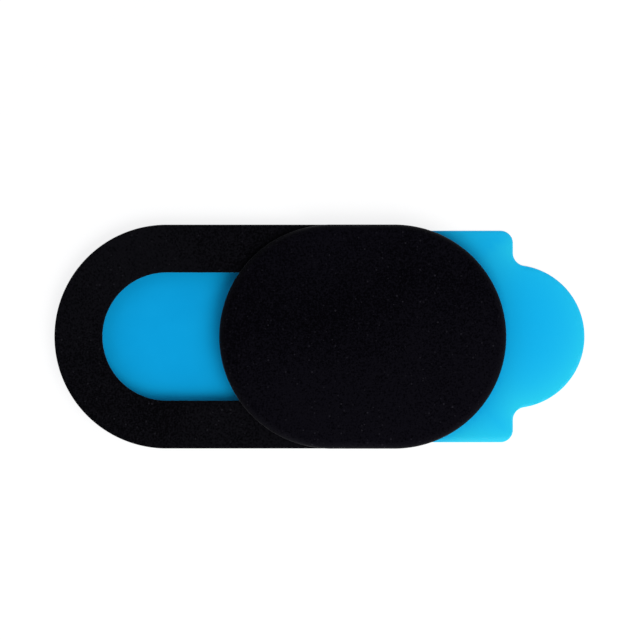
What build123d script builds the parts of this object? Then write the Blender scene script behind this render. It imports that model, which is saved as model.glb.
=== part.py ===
from build123d import *
import os

# A stick-on webcam cover: a moulded frame with a long slot, a shutter that slides along the slot,
# a ring of double-sided tape behind the frame and a release film with a pull tab.
# Millimetres. X runs along the slot, and +Z is the side that faces the user. The origin is on the
# back of the release film, under the middle of the frame. The shutter stands at the +X end of its
# travel, so the window at the -X end is open.

# Frame
frame_length = 34.5
frame_width = 17.1
frame_thickness = 0.75
band_width = 3.65
rail_thickness = 0.35
frame_edge_radius = 0.12

# Shutter
shutter_length = 21.9
shutter_thickness = 0.7
shutter_edge_radius = 0.6
guide_wall = 0.7
lip_reach = 0.35
lip_thickness = 0.25
lip_lead = 0.18
slit_width = 0.5

# Clearances of the sliding fit
side_clearance = 0.1
slide_play = 0.04
lip_clearance = 0.15

# Tape ring
tape_thickness = 0.2
tape_inset = 0.5
tape_margin = 0.2

# Release film
film_thickness = 0.1
film_inset = 0.43
film_reach = 0.6
film_corner_radius = 0.95
tab_radius = 5.5
tab_root_radius = 1.0

# Sizes that follow
slot_length = frame_length - 2 * band_width
slot_width = frame_width - 2 * band_width
rebate_margin = lip_reach + lip_clearance
shutter_width = frame_width
travel = frame_length - shutter_length
guide_length = slot_length - travel - 2 * side_clearance
guide_width = slot_width - 2 * side_clearance
tongue_length = guide_length - guide_width

# Levels, from the back to the front
frame_back = film_thickness + tape_thickness
frame_front = frame_back + frame_thickness
rail_back = frame_front - rail_thickness
shutter_back = frame_front + slide_play
lip_front = rail_back - slide_play
lip_back = lip_front - lip_thickness


def stadium(length, width, margin=0.0):
    """Flat outline with straight sides and round ends, grown outwards by the margin."""
    return SlotOverall(length + 2 * margin, width + 2 * margin)


def plate(outline, back, front):
    """A flat outline raised into a plate between two levels."""
    return Pos(Z=back) * extrude(outline, amount=front - back)


def front_edges(solid):
    """The edges around a solid's front face."""
    return solid.faces().sort_by(Axis.Z)[-1].edges()


def make_base_frame():
    """Frame with a full-length slot. A rebate behind the slot leaves thin rails at the front."""
    ring = stadium(frame_length, frame_width) - stadium(slot_length, slot_width)
    frame = plate(ring, frame_back, frame_front)
    frame -= plate(stadium(slot_length, slot_width, rebate_margin), frame_back, rail_back)
    return fillet(front_edges(frame), frame_edge_radius)


def make_snap_lip():
    """Lip along one tongue of the shutter. It hooks under the rail, and its bevel leads it in."""
    root = guide_width / 2 - guide_wall / 2
    tip = slot_width / 2 + lip_reach
    profile = Polyline(
        (root, lip_front),
        (tip, lip_front),
        (tip, lip_back + lip_lead),
        (tip - lip_lead, lip_back),
        (root, lip_back),
        close=True,
    )
    return extrude(Plane.YZ * make_face(profile), amount=tongue_length / 2, both=True)


def make_guide():
    """Wall that runs in the slot. Its round ends are the stops, its straight sides the snap tongues."""
    outline = stadium(guide_length, guide_width)
    outline -= stadium(guide_length, guide_width, -guide_wall)
    guide = plate(outline, lip_back, shutter_back)
    slit = plate(Rectangle(slit_width, guide_width), lip_back, shutter_back)
    for side in (-1, 1):
        guide -= Pos(X=side * (tongue_length + slit_width) / 2) * slit
    lip = make_snap_lip()
    return guide + lip + mirror(lip, about=Plane.XZ)


def make_shutter():
    """Cover plate with a rounded rim and the guide behind it, at the open end of the travel."""
    cover = plate(stadium(shutter_length, shutter_width), shutter_back, shutter_back + shutter_thickness)
    cover = fillet(front_edges(cover), shutter_edge_radius)
    return Pos(X=travel / 2) * (cover + make_guide())


def make_adhesive_ring():
    """Die-cut tape behind the frame, clear of the rebate that the lips run in."""
    ring = stadium(frame_length, frame_width, -tape_inset)
    ring -= stadium(slot_length, slot_width, rebate_margin + tape_margin)
    return plate(ring, film_thickness, frame_back)


def corners_near(outline, x, y):
    """The outline's two corners nearest to (x, -y) and (x, y)."""
    return [outline.vertices().sort_by_distance((x, side * y))[0] for side in (-1, 1)]


def make_release_film():
    """Film over the tape: round at the -X end, square at the +X end, with a half-round pull tab."""
    half_width = frame_width / 2 - film_inset
    round_centre = (frame_width - frame_length) / 2
    square_end = frame_length / 2 + film_reach
    straight = square_end - round_centre
    shoulder = half_width - film_corner_radius - tab_radius
    sheet = Pos(X=round_centre) * Circle(half_width)
    sheet += Pos(X=square_end - straight / 2) * Rectangle(straight, 2 * half_width)
    sheet = fillet(corners_near(sheet, square_end, half_width), film_corner_radius)
    sheet += Pos(X=square_end) * Circle(tab_radius)
    sheet = fillet(corners_near(sheet, square_end, tab_radius), min(tab_root_radius, shoulder))
    return plate(sheet, 0.0, film_thickness)


os.makedirs("parts", exist_ok=True)
export_step(make_base_frame(), "parts/base_frame.step")
export_step(make_shutter(), "parts/shutter.step")
export_step(make_adhesive_ring(), "parts/adhesive_ring.step")
export_step(make_release_film(), "parts/release_film.step")
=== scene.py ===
import math

import bmesh
import bpy
from mathutils import Matrix, Vector
from mathutils.kdtree import KDTree


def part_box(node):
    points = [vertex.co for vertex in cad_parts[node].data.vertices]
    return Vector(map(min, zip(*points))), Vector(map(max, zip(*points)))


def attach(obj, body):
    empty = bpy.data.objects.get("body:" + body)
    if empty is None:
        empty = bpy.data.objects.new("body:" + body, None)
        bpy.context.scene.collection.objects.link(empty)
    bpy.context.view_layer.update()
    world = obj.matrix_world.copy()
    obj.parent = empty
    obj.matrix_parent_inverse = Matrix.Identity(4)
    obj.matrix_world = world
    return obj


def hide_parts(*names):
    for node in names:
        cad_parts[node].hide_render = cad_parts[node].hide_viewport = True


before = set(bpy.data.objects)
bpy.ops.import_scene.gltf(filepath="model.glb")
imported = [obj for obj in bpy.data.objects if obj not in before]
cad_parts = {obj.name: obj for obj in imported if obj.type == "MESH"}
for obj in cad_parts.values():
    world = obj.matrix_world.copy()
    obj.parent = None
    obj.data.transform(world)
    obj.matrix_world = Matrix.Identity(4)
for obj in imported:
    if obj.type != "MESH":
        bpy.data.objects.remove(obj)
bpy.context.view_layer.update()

# A stick-on webcam cover: a moulded frame, a shutter that slides on it, a ring of tape behind the
# frame and a blue release film with a pull tab. Every piece is modelled in millimetres and scaled to
# metres when it is finished.
mm_per_metre = 1000.0


def solid_box(name):
    """Lowest and highest corner of a solid, in millimetres."""
    low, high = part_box(name)
    return low * mm_per_metre, high * mm_per_metre


frame_low, frame_high = solid_box("base_frame")
shutter_low, shutter_high = solid_box("shutter")
tape_low, tape_high = solid_box("adhesive_ring")
film_low, film_high = solid_box("release_film")

# Frame
band_width = 3.65
rail_thickness = 0.35
frame_edge_radius = 0.12
frame_radius = frame_high.y
frame_straight = frame_high.x - frame_radius
slot_radius = frame_radius - band_width
rail_back = frame_high.z - rail_thickness

# Shutter
slide_play = 0.04
shutter_edge_radius = 0.6
side_clearance = 0.1
guide_wall = 0.7
lip_reach = 0.35
lip_clearance = 0.15
lip_thickness = 0.25
lip_lead = 0.18
slit_width = 0.5
shutter_middle = (shutter_low.x + shutter_high.x) / 2
shutter_radius = shutter_high.y
shutter_straight = shutter_high.x - shutter_middle - shutter_radius
shutter_back = frame_high.z + slide_play
guide_radius = slot_radius - side_clearance
lip_front = shutter_low.z + lip_thickness
rebate_radius = slot_radius + lip_reach + lip_clearance

# Tape ring
tape_margin = 0.2
tape_outer_radius = tape_high.y
tape_inner_radius = rebate_radius + tape_margin

# Release film
film_reach = 0.6
film_corner_radius = 0.95
tab_root_radius = 1.0
film_cut_radius = 0.025
film_half_width = film_high.y
film_round_centre = film_low.x + film_half_width
film_square_end = frame_high.x + film_reach
tab_radius = film_high.x - film_square_end

# The side that the light comes from
bright_side = Vector((0.3, -0.95))

# Painted light in the film's colour: how much its cut edges glow, how much more or less by the side that
# they face, how deep the glow goes, and how far the frame's painted shade reaches over the film
edge_light_level = 0.6
edge_light_swing = 0.4
edge_light_depth = 1.6
frame_shade_reach = 0.3

# Fineness of the meshes. A face lies flat when the Z of its normal is above flat_above.
round_steps = 192
fewest_arc_steps = 4
frame_edge_steps = 5
shutter_edge_steps = 8
lip_lead_steps = 1
film_cut_steps = 2
film_grid = 0.5
flat_above = 0.9
smooth_below = math.radians(30)
merge_distance = 0.0005

# Table and soft box
table_gap = 0.02
table_reach = 3000.0
soft_box_place = Vector((36.0, -48.0, 80.0))
soft_box_width = 90.0
soft_box_height = 60.0
soft_box_watts = 0.062
soft_box_colour = (1.0, 0.98, 0.93)

# The photograph: its size, its scale on the frame's front and the pixel at the frame's middle
photo_pixels = 640
pixels_per_mm = 13.10
frame_middle_pixel = (280.2, 336.6)


# Mesh tools

def stadium_face(bm, radius, straight, level, middle=0.0):
    """A flat face with round ends and straight sides, drawn out from a disc."""
    half_step = Matrix.Rotation(math.pi / round_steps, 4, "Z")
    disc = bmesh.ops.create_circle(
        bm, cap_ends=True, segments=round_steps, radius=radius, matrix=half_step
    )["verts"]
    for side in (-1, 1):
        end = [v for v in disc if v.co.x * side > 0]
        bmesh.ops.translate(bm, verts=end, vec=(side * straight, 0, 0))
    bmesh.ops.translate(bm, verts=disc, vec=(middle, 0, level))
    return disc[0].link_faces[0]


def ring_inside(bm, face, width):
    """Insets a face and returns the ring of faces around what is left of it."""
    return bmesh.ops.inset_region(
        bm, faces=[face], thickness=width, use_boundary=True, use_even_offset=True
    )["faces"]


def draw_out(bm, faces, way, keep=False):
    """Extrudes faces along a way and returns the vertices and faces that moved."""
    region = faces + list({edge for face in faces for edge in face.edges})
    made = bmesh.ops.extrude_face_region(bm, geom=region, use_keep_orig=keep)["geom"]
    verts = [part for part in made if isinstance(part, bmesh.types.BMVert)]
    bmesh.ops.translate(bm, verts=verts, vec=way)
    return verts, [part for part in made if isinstance(part, bmesh.types.BMFace)]


def thicken(bm, faces, rise, keep=False):
    """Extrudes faces along Z. With keep, the old faces stay as the other side of a plate."""
    return draw_out(bm, faces, (0, 0, rise), keep)[1]


def rim_edges(bm, level):
    """The sharp edges that lie on one level."""
    bm.normal_update()
    flat = [e for e in bm.edges if all(abs(v.co.z - level) < merge_distance for v in e.verts)]
    return [e for e in flat if e.is_manifold and e.calc_face_angle() > smooth_below]


def round_off(bm, edges, radius, steps):
    """Rounds edges to a radius. A single step takes them off with a flat."""
    bmesh.ops.bevel(
        bm,
        geom=edges,
        offset=radius,
        offset_type="OFFSET",
        segments=steps,
        profile=0.5,
        affect="EDGES",
        material=-1,
    )


def to_metres(bm):
    """Scales a mesh from millimetres to metres."""
    bmesh.ops.scale(bm, verts=bm.verts, vec=(1 / mm_per_metre,) * 3)


def new_object(bm, name, material):
    """Puts a mesh with its material in the scene."""
    mesh = bpy.data.meshes.new(name)
    bm.to_mesh(mesh)
    bm.free()
    mesh.materials.append(material)
    made = bpy.data.objects.new(name, mesh)
    bpy.context.collection.objects.link(made)
    return made


def finish_piece(bm, name, material, body, solid):
    """Closes the mesh, smooths its round faces and puts the piece in the place of its solid."""
    bmesh.ops.remove_doubles(bm, verts=bm.verts, dist=merge_distance)
    bmesh.ops.recalc_face_normals(bm, faces=bm.faces)
    to_metres(bm)
    piece = new_object(bm, name, material)
    for face in piece.data.polygons:
        face.use_smooth = True
    piece.data.set_sharp_from_angle(angle=smooth_below)
    flats = piece.modifiers.new("flat_faces", "WEIGHTED_NORMAL")
    flats.keep_sharp = True
    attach(piece, body)
    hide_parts(solid)


# Pieces

def make_frame_moulding(material):
    """Frame with its long slot, and a rebate behind the slot that leaves thin rails in front."""
    bm = bmesh.new()
    slot = stadium_face(bm, frame_radius, frame_straight, rail_back)
    wall = ring_inside(bm, slot, frame_radius - rebate_radius)
    rails = ring_inside(bm, slot, rebate_radius - slot_radius)
    bmesh.ops.delete(bm, geom=[slot], context="FACES_ONLY")
    thicken(bm, wall + rails, frame_high.z - rail_back, keep=True)
    thicken(bm, wall, frame_low.z - rail_back)
    round_off(bm, rim_edges(bm, frame_high.z), frame_edge_radius, frame_edge_steps)
    finish_piece(bm, "frame_moulding", material, "base", "base_frame")


def make_shutter_moulding(material):
    """Cover plate with a rounded rim. Behind it the guide, with its stops, snap tongues and lips."""
    bm = bmesh.new()
    middle = stadium_face(bm, shutter_radius, shutter_straight, shutter_back, shutter_middle)
    margin = ring_inside(bm, middle, shutter_radius - guide_radius)
    guide = ring_inside(bm, middle, guide_wall)
    thicken(bm, margin + guide + [middle], shutter_high.z - shutter_back, keep=True)
    round_off(bm, rim_edges(bm, shutter_high.z), shutter_edge_radius, shutter_edge_steps)
    guide = [f for f in guide if f.is_valid]
    off_middle = {f: abs(f.calc_center_median().x - shutter_middle) for f in guide}
    tongues = [f for f in guide if off_middle[f] < merge_distance]
    stops = [f for f in guide if off_middle[f] > shutter_straight + slit_width]
    thicken(bm, stops, shutter_low.z - shutter_back)
    tongues = thicken(bm, tongues, lip_front - shutter_back)
    ends = thicken(bm, tongues, shutter_low.z - lip_front)
    add_snap_lips(bm, ends)
    finish_piece(bm, "shutter_moulding", material, "slider", "shutter")


def add_snap_lips(bm, tongue_ends):
    """Draws the outer face of each tongue's end out into a lip, with a bevel that leads it in."""
    bm.normal_update()
    reach = slot_radius + lip_reach - guide_radius
    for end in tongue_ends:
        side = math.copysign(1, end.calc_center_median().y)
        walls = [f for e in end.edges for f in e.link_faces if f is not end]
        outer = max(walls, key=lambda f: side * f.calc_center_median().y)
        moved = draw_out(bm, [outer], (0, side * reach, 0))[0]
        low = [v for v in moved if abs(v.co.z - shutter_low.z) < merge_distance]
        nose = bm.edges.get(low)
        round_off(bm, [nose], lip_lead, lip_lead_steps)


def make_tape_ring(material):
    """Die-cut ring of double-sided tape behind the frame."""
    bm = bmesh.new()
    opening = stadium_face(bm, tape_outer_radius, frame_straight, tape_low.z)
    ring = ring_inside(bm, opening, tape_outer_radius - tape_inner_radius)
    bmesh.ops.delete(bm, geom=[opening], context="FACES_ONLY")
    thicken(bm, ring, tape_high.z - tape_low.z, keep=True)
    finish_piece(bm, "tape_ring", material, "base", "adhesive_ring")


def arc_to(bm, vert, centre, degrees):
    """Turns the end of an outline about a centre and returns the new end."""
    made = bmesh.ops.spin(
        bm,
        geom=[vert],
        cent=(*centre, film_low.z),
        axis=(0, 0, 1),
        angle=math.radians(degrees),
        steps=max(fewest_arc_steps, round(round_steps * abs(degrees) / 360)),
    )
    return next(part for part in made["geom_last"] if isinstance(part, bmesh.types.BMVert))


def line_to(bm, vert, x, y):
    """Draws the end of an outline straight on and returns the new end."""
    end = bmesh.ops.extrude_vert_indiv(bm, verts=[vert])["verts"][0]
    end.co = (x, y, film_low.z)
    return end


def make_film_sheet(material):
    """Release film: round at one end, square at the other, with a half-round pull tab."""
    corner = film_square_end - film_corner_radius
    side = -film_half_width
    root_y = math.sqrt((tab_radius + tab_root_radius) ** 2 - tab_root_radius**2)
    root_angle = math.degrees(math.atan2(root_y, tab_root_radius))
    bm = bmesh.new()
    end = bm.verts.new((film_low.x, 0, film_low.z))
    end = arc_to(bm, end, (film_round_centre, 0), 90)
    end = line_to(bm, end, corner, side)
    end = arc_to(bm, end, (corner, side + film_corner_radius), 90)
    end = line_to(bm, end, film_square_end, -root_y)
    end = arc_to(bm, end, (film_square_end + tab_root_radius, -root_y), -root_angle)
    arc_to(bm, end, (film_square_end, 0), root_angle)
    bmesh.ops.mirror(bm, geom=bm.verts[:] + bm.edges[:], axis="Y", merge_dist=merge_distance)
    bmesh.ops.remove_doubles(bm, verts=bm.verts, dist=merge_distance)
    sheet = bmesh.ops.edgeloop_fill(bm, edges=bm.edges)["faces"]
    thicken(bm, sheet, film_high.z - film_low.z, keep=True)
    round_off(bm, rim_edges(bm, film_high.z), film_cut_radius, film_cut_steps)
    cut_into_grid(bm, film_grid)
    note_painted_film_light(bm)
    finish_piece(bm, "film_sheet", material, "base", "release_film")


def cut_into_grid(bm, step):
    """Cuts a sheet into small squares, so that its vertices can carry values that change over it."""
    for axis in (0, 1):
        low = min(v.co[axis] for v in bm.verts)
        high = max(v.co[axis] for v in bm.verts)
        across = Vector((0, 0, 0))
        across[axis] = 1
        for count in range(1, math.ceil((high - low) / step)):
            everything = bm.verts[:] + bm.edges[:] + bm.faces[:]
            place = across * (low + count * step)
            bmesh.ops.bisect_plane(bm, geom=everything, plane_co=place, plane_no=across)


def note_painted_film_light(bm):
    """Stores painted light for the film's colour: where it lies out of the frame's painted shade, and a
    painted glow at its cut edge, stronger on the bright side.
    """
    free = bm.verts.layers.float.new("out_of_painted_frame_shade")
    light = bm.verts.layers.float.new("painted_edge_glow")
    bm.normal_update()
    cut = [v for v in bm.verts if any(abs(f.normal.z) < flat_above for f in v.link_faces)]
    edge = KDTree(len(cut))
    for index, vert in enumerate(cut):
        edge.insert(vert.co, index)
    edge.balance()
    for vert in bm.verts:
        past_straight = max(abs(vert.co.x) - frame_straight, 0)
        past_frame = max(math.hypot(past_straight, vert.co.y) - frame_radius, 0)
        index, distance = edge.find(vert.co)[1:]
        # Painted glow at the cut edge, stronger where the edge faces the bright side, and painted shade
        # near the frame
        facing = cut[index].normal.xy.normalized().dot(bright_side)
        painted_edge_brightness = edge_light_level + edge_light_swing * facing
        vert[free] = 1 - math.exp(-past_frame / frame_shade_reach)
        vert[light] = painted_edge_brightness * math.exp(-distance / edge_light_depth) * vert[free]


# Node tools

def node(tree, kind, inputs=None, **settings):
    """A new shader node with its settings, its constant inputs and its links."""
    made = tree.nodes.new("ShaderNode" + kind)
    for name, value in settings.items():
        setattr(made, name, value)
    for key, value in (inputs or {}).items():
        if isinstance(value, bpy.types.NodeSocket):
            tree.links.new(value, made.inputs[key])
        else:
            made.inputs[key].default_value = value
    return made


def arithmetic(tree, operation, *values):
    """The result of one step of arithmetic."""
    return node(tree, "Math", dict(enumerate(values)), operation=operation).outputs["Value"]


def ranged(tree, value, span, new_span=(0.0, 1.0), kind="LINEAR"):
    """A value spread from one span to another, and held at its ends."""
    inputs = {
        "Value": value,
        "From Min": span[0],
        "From Max": span[1],
        "To Min": new_span[0],
        "To Max": new_span[1],
    }
    return node(tree, "MapRange", inputs, interpolation_type=kind).outputs["Result"]


def mixed(tree, share, first, second):
    """A colour between two colours. They are the Mix node's inputs 6 and 7, and its output 2."""
    return node(tree, "Mix", {0: share, 6: first, 7: second}, data_type="RGBA").outputs[2]


def grey(level):
    """A neutral colour."""
    return (level, level, level, 1)


def new_group(name, inputs, outputs):
    """A shader node group with named sockets, and its two end nodes."""
    group = bpy.data.node_groups.new(name, "ShaderNodeTree")
    for label, kind in inputs:
        group.interface.new_socket(label, in_out="INPUT", socket_type="NodeSocket" + kind)
    for label in outputs:
        group.interface.new_socket(label, in_out="OUTPUT", socket_type="NodeSocketFloat")
    return group, group.nodes.new("NodeGroupInput"), group.nodes.new("NodeGroupOutput")


def new_material(name):
    """A material, its node tree and its Principled shader."""
    material = bpy.data.materials.new(name)
    material.use_nodes = True
    return material, material.node_tree, material.node_tree.nodes["Principled BSDF"]


def bump_surface(tree, shader, height, strength, depth):
    """Gives a surface a relief. The depth is in millimetres."""
    inputs = {"Strength": strength, "Distance": depth / mm_per_metre, "Height": height}
    bump = node(tree, "Bump", inputs)
    tree.links.new(bump.outputs["Normal"], shader.inputs["Normal"])


# Materials

def moulded_grain_group():
    """Fine spark-eroded grain: its height, its scattered bright specks and a slow change of tone."""
    pit_share = 0.45
    cells_with_specks = (0.6, 1.0)
    speck_sizes = (0.0, 0.42)
    speck_softness = 0.12
    speck_contrast = 2.0
    group, start, end = new_group(
        "moulded_grain",
        [
            ("Vector", "Vector"),
            ("Grains per metre", "Float"),
            ("Specks per metre", "Float"),
            ("Clouds per metre", "Float"),
        ],
        ["Height", "Specks", "Cloud"],
    )
    vector = start.outputs["Vector"]
    pitch = start.outputs["Grains per metre"]
    fine = node(group, "TexNoise", {"Vector": vector, "Scale": pitch, "Detail": 2.0, "Roughness": 0.6})
    pits = node(group, "TexVoronoi", {"Vector": vector, "Scale": pitch})
    deep = arithmetic(group, "MULTIPLY", pits.outputs["Distance"], pit_share)
    group.links.new(arithmetic(group, "ADD", fine.outputs["Fac"], deep), end.inputs["Height"])

    dots = node(group, "TexVoronoi", {"Vector": vector, "Scale": start.outputs["Specks per metre"]})
    chance = node(group, "SeparateColor", {"Color": dots.outputs["Color"]})
    size = ranged(group, chance.outputs["Red"], cells_with_specks, speck_sizes)
    inside = arithmetic(group, "SUBTRACT", size, dots.outputs["Distance"])
    soft = ranged(group, inside, (0.0, speck_softness))
    strength = arithmetic(group, "POWER", chance.outputs["Green"], speck_contrast)
    group.links.new(arithmetic(group, "MULTIPLY", soft, strength), end.inputs["Specks"])

    slow = start.outputs["Clouds per metre"]
    cloud = node(group, "TexNoise", {"Vector": vector, "Scale": slow, "Detail": 3.0})
    group.links.new(cloud.outputs["Fac"], end.inputs["Cloud"])
    return group


def black_moulding(name, grain, valley, crest, speck):
    """Matt black plastic from a spark-eroded mould."""
    cloud_share = 0.7
    tone_span = (0.905, 1.205)
    height_span = (0.3, 1.0)
    roughness_span = (0.44, 0.6)
    material, tree, shader = new_material(name)
    settings = {
        "Vector": node(tree, "TexCoord").outputs["Object"],
        "Grains per metre": 7000.0,
        "Specks per metre": 4500.0,
        "Clouds per metre": 78.0,
    }
    marks = node(tree, "Group", settings, node_tree=grain)
    height = marks.outputs["Height"]
    tone = arithmetic(tree, "MULTIPLY_ADD", marks.outputs["Cloud"], cloud_share, height)
    plain = mixed(tree, ranged(tree, tone, tone_span), valley, crest)
    tree.links.new(mixed(tree, marks.outputs["Specks"], plain, speck), shader.inputs["Base Color"])
    tree.links.new(ranged(tree, height, height_span, roughness_span), shader.inputs["Roughness"])
    shader.inputs["Specular IOR Level"].default_value = 0.02
    shader.inputs["Sheen Weight"].default_value = 0.05
    shader.inputs["Sheen Roughness"].default_value = 0.4
    bump_surface(tree, shader, height, strength=0.6, depth=0.02)
    return material


def frame_black(grain):
    """Black of the frame, with a slightly warmer tone than the shutter's."""
    valley = (0.0008, 0.0007, 0.0012, 1)
    crest = (0.0042, 0.0040, 0.0054, 1)
    speck = (0.0143, 0.0138, 0.0170, 1)
    return black_moulding("frame_black", grain, valley, crest, speck)


def shutter_black(grain):
    """Black of the shutter, a little deeper and bluer than the frame's."""
    valley = (0.0006, 0.0004, 0.0012, 1)
    crest = (0.0033, 0.0029, 0.0049, 1)
    speck = (0.0143, 0.0132, 0.0176, 1)
    return black_moulding("shutter_black", grain, valley, crest, speck)


def blue_film():
    """Blue plastic film with faint streaks. Painted light: brighter where it lies free of the frame's
    painted shade, and palest in a painted glow at its cut edge.
    """
    # deep is the film in the frame's painted shade, free a painted lit copy of it, pale a painted glow
    # at the cut edges
    deep = (0.0030, 0.408, 0.825, 1)
    thin_spot = (0.0036, 0.424, 0.845, 1)
    free = (0.0052, 0.470, 0.885, 1)
    pale = (0.024, 0.655, 0.885, 1)
    streaks_per_metre = (60.0, 3500.0, 3500.0)
    clouds_per_metre = 350.0
    cloud_span = (0.35, 0.65)
    streak_span = (0.3, 0.7)
    roughness_span = (0.2, 0.26)
    streak_share = 0.02
    material, tree, shader = new_material("blue_film")
    place = node(tree, "TexCoord").outputs["Object"]
    drawn = node(tree, "Mapping", {"Vector": place, "Scale": streaks_per_metre}).outputs["Vector"]
    streaks = node(tree, "TexNoise", {"Vector": drawn, "Scale": 1.0, "Detail": 3.0}).outputs["Fac"]
    clouds = {"Vector": place, "Scale": clouds_per_metre, "Detail": 3.0}
    cloud = node(tree, "TexNoise", clouds).outputs["Fac"]
    body = mixed(tree, ranged(tree, cloud, cloud_span), deep, thin_spot)
    off_frame_painted_light = node(tree, "Attribute", attribute_name="out_of_painted_frame_shade").outputs["Fac"]
    painted_edge_glow_share = node(tree, "Attribute", attribute_name="painted_edge_glow").outputs["Fac"]
    # Painted light and shade: the lit copy off the frame, and the pale glow near the cut edges
    lit = mixed(tree, painted_edge_glow_share, mixed(tree, off_frame_painted_light, body, free), pale)
    tree.links.new(lit, shader.inputs["Base Color"])
    tree.links.new(ranged(tree, streaks, streak_span, roughness_span), shader.inputs["Roughness"])
    shader.inputs["Specular IOR Level"].default_value = 0.35
    ripple = arithmetic(tree, "MULTIPLY_ADD", streaks, streak_share, cloud)
    bump_surface(tree, shader, ripple, strength=0.3, depth=0.02)
    return material


def clear_tape():
    """Pale acrylic tape, a little cloudy, with fine bubbles."""
    thin_milk = (0.56, 0.58, 0.57, 1)
    thick_milk = (0.72, 0.73, 0.71, 1)
    clouds_per_metre = 900.0
    bubbles_per_metre = 9000.0
    bubble_share = 0.4
    haze_span = (0.4, 0.9)
    roughness_span = (0.3, 0.5)
    material, tree, shader = new_material("clear_tape")
    place = node(tree, "TexCoord").outputs["Object"]
    clouds = {"Vector": place, "Scale": clouds_per_metre, "Detail": 4.0}
    cloud = node(tree, "TexNoise", clouds).outputs["Fac"]
    bubbles = node(tree, "TexVoronoi", {"Vector": place, "Scale": bubbles_per_metre}).outputs["Distance"]
    haze = arithmetic(tree, "MULTIPLY_ADD", bubbles, bubble_share, cloud)
    milk = mixed(tree, ranged(tree, haze, haze_span), thin_milk, thick_milk)
    tree.links.new(milk, shader.inputs["Base Color"])
    tree.links.new(ranged(tree, haze, haze_span, roughness_span), shader.inputs["Roughness"])
    bump_surface(tree, shader, haze, strength=0.4, depth=0.01)
    return material


# Stage

def seen_directly(tree):
    """1 for what the eye sees, straight or in a reflection or through a clear piece."""
    rays = node(tree, "LightPath").outputs
    either = arithmetic(tree, "MAXIMUM", rays["Is Camera Ray"], rays["Is Glossy Ray"])
    return arithmetic(tree, "MAXIMUM", either, rays["Is Transmission Ray"])


def lay_table():
    """White table under the cover. It looks white and keeps a soft shadow round the object."""
    bm = bmesh.new()
    bmesh.ops.create_grid(bm, x_segments=1, y_segments=1, size=table_reach)
    bmesh.ops.translate(bm, verts=bm.verts, vec=(0, 0, film_low.z - table_gap))
    to_metres(bm)
    new_object(bm, "table", white_table())


def white_table():
    """White to the eye. Near the object a part of its white is the light that falls on it."""
    lit_to_glowing = (28.0 / mm_per_metre, 50.0 / mm_per_metre)
    glow_span = (0.82, 1.0)
    real_paint = grey(0.8)
    seen_paint = grey(0.24)
    material, tree, shader = new_material("white_table")
    tree.nodes.remove(shader)
    seen = seen_directly(tree)
    place = node(tree, "TexCoord").outputs["Object"]
    away = node(tree, "VectorMath", {0: place}, operation="LENGTH").outputs["Value"]
    glow = arithmetic(tree, "MULTIPLY", seen, ranged(tree, away, lit_to_glowing, glow_span))
    lit = node(tree, "BsdfDiffuse", {"Color": mixed(tree, seen, real_paint, seen_paint)})
    white = node(tree, "Emission", {"Strength": glow})
    both = node(tree, "AddShader", {0: lit.outputs[0], 1: white.outputs[0]})
    tree.links.new(both.outputs[0], tree.nodes["Material Output"].inputs["Surface"])
    return material


def hang_soft_box():
    """A soft box from the lower right of the picture."""
    data = bpy.data.lights.new("soft_box", "AREA")
    data.shape = "RECTANGLE"
    data.size = soft_box_width / mm_per_metre
    data.size_y = soft_box_height / mm_per_metre
    data.energy = soft_box_watts
    data.color = soft_box_colour
    lamp = bpy.data.objects.new("soft_box", data)
    lamp.location = soft_box_place / mm_per_metre
    lamp.rotation_mode = "QUATERNION"
    lamp.rotation_quaternion = (-soft_box_place).to_track_quat("-Z", "Y")
    lamp.visible_glossy = False
    bpy.context.collection.objects.link(lamp)


def paint_room():
    """A pale room, brighter on the soft box's side, with a dark hood round the camera overhead."""
    wall_span = (0.55, 1.25)
    hood_heights = (0.55, 0.95)
    hood_span = (1.0, 0.02)
    pale_blue = (0.95, 0.98, 1.08)
    world = bpy.data.worlds.new("pale_room")
    bpy.context.scene.world = world
    world.use_nodes = True
    tree = world.node_tree
    rays = node(tree, "LightPath").outputs
    way = node(tree, "TexCoord").outputs["Generated"]
    up = node(tree, "SeparateXYZ", {0: way}).outputs["Z"]
    side = node(tree, "VectorMath", {0: way, 1: (*bright_side, 0.0)}, operation="DOT_PRODUCT")
    wall = ranged(tree, side.outputs["Value"], (-1.0, 1.0), wall_span)
    hood = ranged(tree, up, hood_heights, hood_span, "SMOOTHSTEP")
    level = arithmetic(tree, "MULTIPLY", wall, hood)
    paint = node(tree, "VectorMath", {0: pale_blue, "Scale": level}, operation="SCALE").outputs[0]
    seen = arithmetic(tree, "MAXIMUM", rays["Is Camera Ray"], rays["Is Transmission Ray"])
    shown = mixed(tree, seen, paint, grey(1.0))
    tree.links.new(shown, tree.nodes["Background"].inputs["Color"])


def set_camera():
    """Camera straight above the cover, framed as the photograph is."""
    lens = 120.0
    sensor = 36.0
    height = photo_pixels / pixels_per_mm * lens / sensor
    right = (photo_pixels / 2 - frame_middle_pixel[0]) / pixels_per_mm
    up = (frame_middle_pixel[1] - photo_pixels / 2) / pixels_per_mm
    data = bpy.data.cameras.new("overhead_camera")
    data.lens = lens
    data.sensor_width = sensor
    data.clip_start = 0.01
    camera = bpy.data.objects.new("overhead_camera", data)
    camera.location = Vector((right, up, frame_high.z + height)) / mm_per_metre
    bpy.context.collection.objects.link(camera)
    bpy.context.scene.camera = camera


bpy.context.scene.view_settings.view_transform = "Standard"
set_camera()
lay_table()
hang_soft_box()
paint_room()
grain = moulded_grain_group()
make_frame_moulding(frame_black(grain))
make_shutter_moulding(shutter_black(grain))
make_tape_ring(clear_tape())
make_film_sheet(blue_film())
